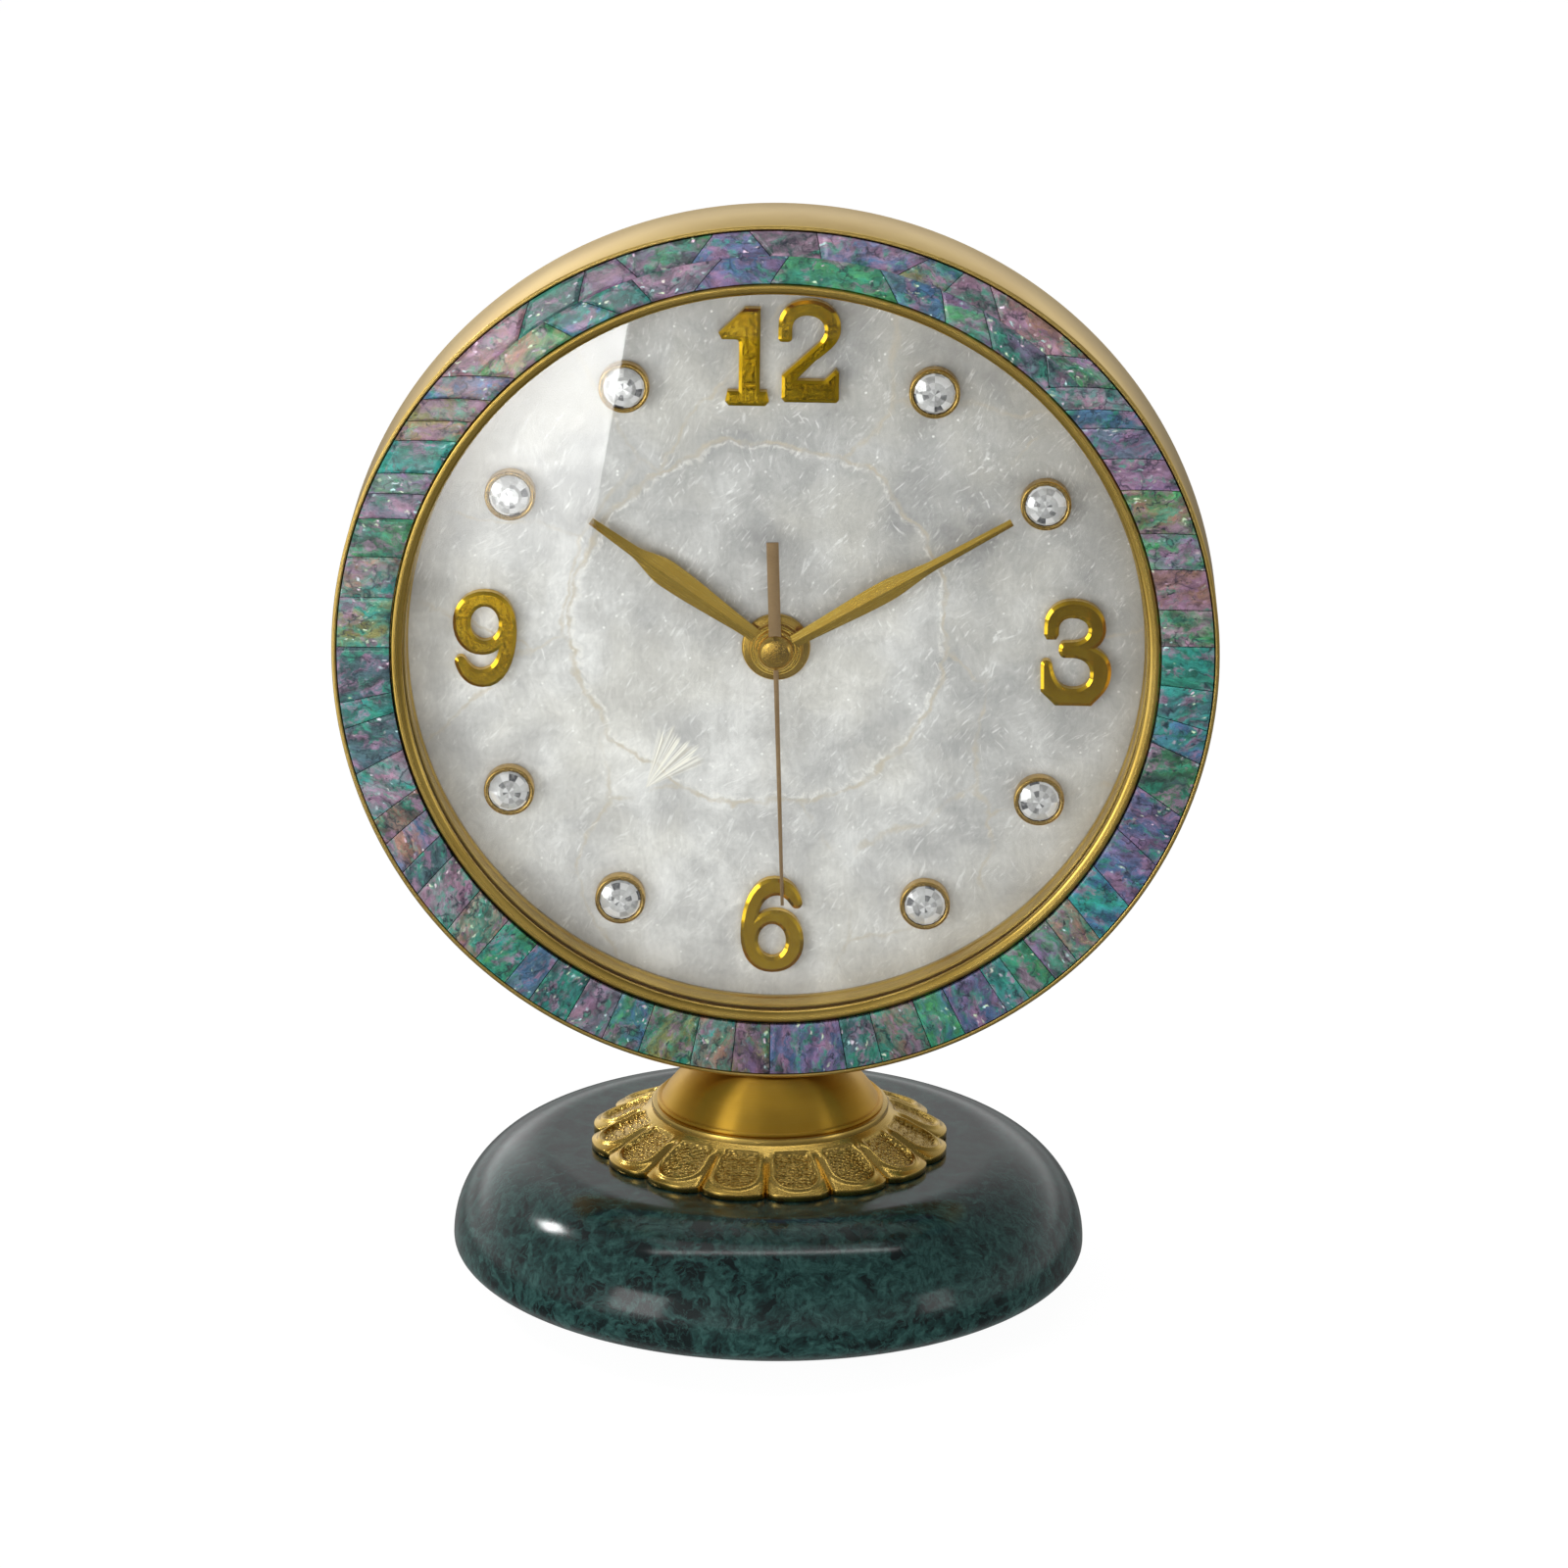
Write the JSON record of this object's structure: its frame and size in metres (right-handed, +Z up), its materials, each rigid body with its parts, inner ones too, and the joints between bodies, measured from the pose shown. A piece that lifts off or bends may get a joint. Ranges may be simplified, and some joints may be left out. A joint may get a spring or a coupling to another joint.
{
  "type": "desk clock",
  "caption": "Round brass desk clock with shell-inlaid bezel, pearl dial, gold numerals and crystal hour markers, on a petal collar and a polished green marble base.",
  "frame": {"origin": "centre of the felt pad's underside, on the surface the clock stands on", "axes": "+Z up, the dial faces -Y, +X to the right of someone facing the dial"},
  "size_m": [0.16, 0.1164, 0.2025],
  "materials": {
    "felt": "matte felt",
    "green_marble": "polished, veined",
    "satin_brass": "satin",
    "polished_gold": "polished",
    "steel": "zinc plated",
    "abalone": "iridescent shell, lacquered",
    "glass": "clear",
    "pearl": "pearly shell veneer",
    "crystal": "faceted, foil backed",
    "black_plastic": "moulded",
    "white_plastic": "moulded",
    "board": "lacquered",
    "copper": "enamelled winding",
    "cell": "plain jacket"
  },
  "bodies": {
    "case": {"base_pad": "felt", "marble_base": "green_marble", "petal_collar": "satin_brass", "neck": "satin_brass", "tie_rod": "steel", "tie_nut": "steel", "case_band": "satin_brass", "inlay_ring": "abalone", "sight_ring": "satin_brass", "glass": "glass", "spacer_ring": "satin_brass", "back_plate": "satin_brass", "back_screw_1": "steel", "back_screw_2": "steel", "back_screw_3": "steel", "dial": "pearl", "numeral_12_one": "polished_gold", "numeral_12_two": "polished_gold", "numeral_3": "polished_gold", "numeral_6": "polished_gold", "numeral_9": "polished_gold", "cup_1": "satin_brass", "cup_2": "satin_brass", "cup_4": "satin_brass", "cup_5": "satin_brass", "cup_7": "satin_brass", "cup_8": "satin_brass", "cup_10": "satin_brass", "cup_11": "satin_brass", "crystal_1": "crystal", "crystal_2": "crystal", "crystal_4": "crystal", "crystal_5": "crystal", "crystal_7": "crystal", "crystal_8": "crystal", "crystal_10": "crystal", "crystal_11": "crystal", "dial_nut": "satin_brass", "movement_front": "black_plastic", "movement_rear": "black_plastic", "middle_plate": "white_plastic", "circuit_board": "board", "coil": "copper", "stator": "steel", "contact_positive": "steel", "contact_negative": "steel"},
    "second_hand": {"second_hand": "satin_brass", "seconds_wheel": "white_plastic"},
    "intermediate_wheel": {"intermediate_wheel": "white_plastic"},
    "rotor": {"rotor": "steel"},
    "third_wheel": {"third_wheel": "white_plastic"},
    "centre_wheel": {"centre_wheel": "white_plastic"},
    "minute_hand": {"minute_hand": "satin_brass", "cannon_pinion": "white_plastic"},
    "hour_hand": {"hour_hand": "satin_brass", "hour_wheel": "white_plastic"},
    "minute_wheel": {"minute_wheel": "white_plastic"},
    "set_knob": {"set_knob": "black_plastic"},
    "battery": {"battery": "cell"}
  },
  "joints": [
    {"name": "second_turn", "type": "hinge", "parent": "case", "child": "second_hand", "pos_m": [0, 0, 0.1225], "axis": [0, 1, 0], "continuous": true},
    {"name": "intermediate_turn", "type": "hinge", "parent": "case", "child": "intermediate_wheel", "pos_m": [-0.00413, 0, 0.1284], "axis": [0, 1, 0], "continuous": true},
    {"name": "rotor_turn", "type": "hinge", "parent": "case", "child": "rotor", "pos_m": [-0.00162, 0, 0.1353], "axis": [0, 1, 0], "continuous": true},
    {"name": "third_turn", "type": "hinge", "parent": "case", "child": "third_wheel", "pos_m": [0.00935, 0, 0.1279], "axis": [0, 1, 0], "continuous": true},
    {"name": "centre_turn", "type": "hinge", "parent": "case", "child": "centre_wheel", "pos_m": [0, 0, 0.1225], "axis": [0, 1, 0], "continuous": true},
    {"name": "minute_turn", "type": "hinge", "parent": "case", "child": "minute_hand", "pos_m": [0, 0, 0.1225], "axis": [0, 1, 0], "continuous": true},
    {"name": "hour_turn", "type": "hinge", "parent": "case", "child": "hour_hand", "pos_m": [0, 0, 0.1225], "axis": [0, 1, 0], "continuous": true},
    {"name": "minute_wheel_turn", "type": "hinge", "parent": "case", "child": "minute_wheel", "pos_m": [-0.00846, 0, 0.12558], "axis": [0, 1, 0], "continuous": true},
    {"name": "set_turn", "type": "hinge", "parent": "case", "child": "set_knob", "pos_m": [-0.01154, 0, 0.13404], "axis": [0, 1, 0], "continuous": true},
    {"name": "battery_slide", "type": "slide", "parent": "case", "child": "battery", "axis": [0, 1, 0], "range_m": [0, 0.03]}
  ],
  "couplings": [
    {"joint": "intermediate_turn", "follows": "second_turn", "ratio": -5},
    {"joint": "rotor_turn", "follows": "second_turn", "ratio": 30},
    {"joint": "third_turn", "follows": "second_turn", "ratio": -0.125},
    {"joint": "centre_turn", "follows": "second_turn", "ratio": 0.016667},
    {"joint": "hour_turn", "follows": "minute_turn", "ratio": 0.083333},
    {"joint": "minute_wheel_turn", "follows": "minute_turn", "ratio": -0.33333},
    {"joint": "set_turn", "follows": "minute_turn", "ratio": 1}
  ]
}
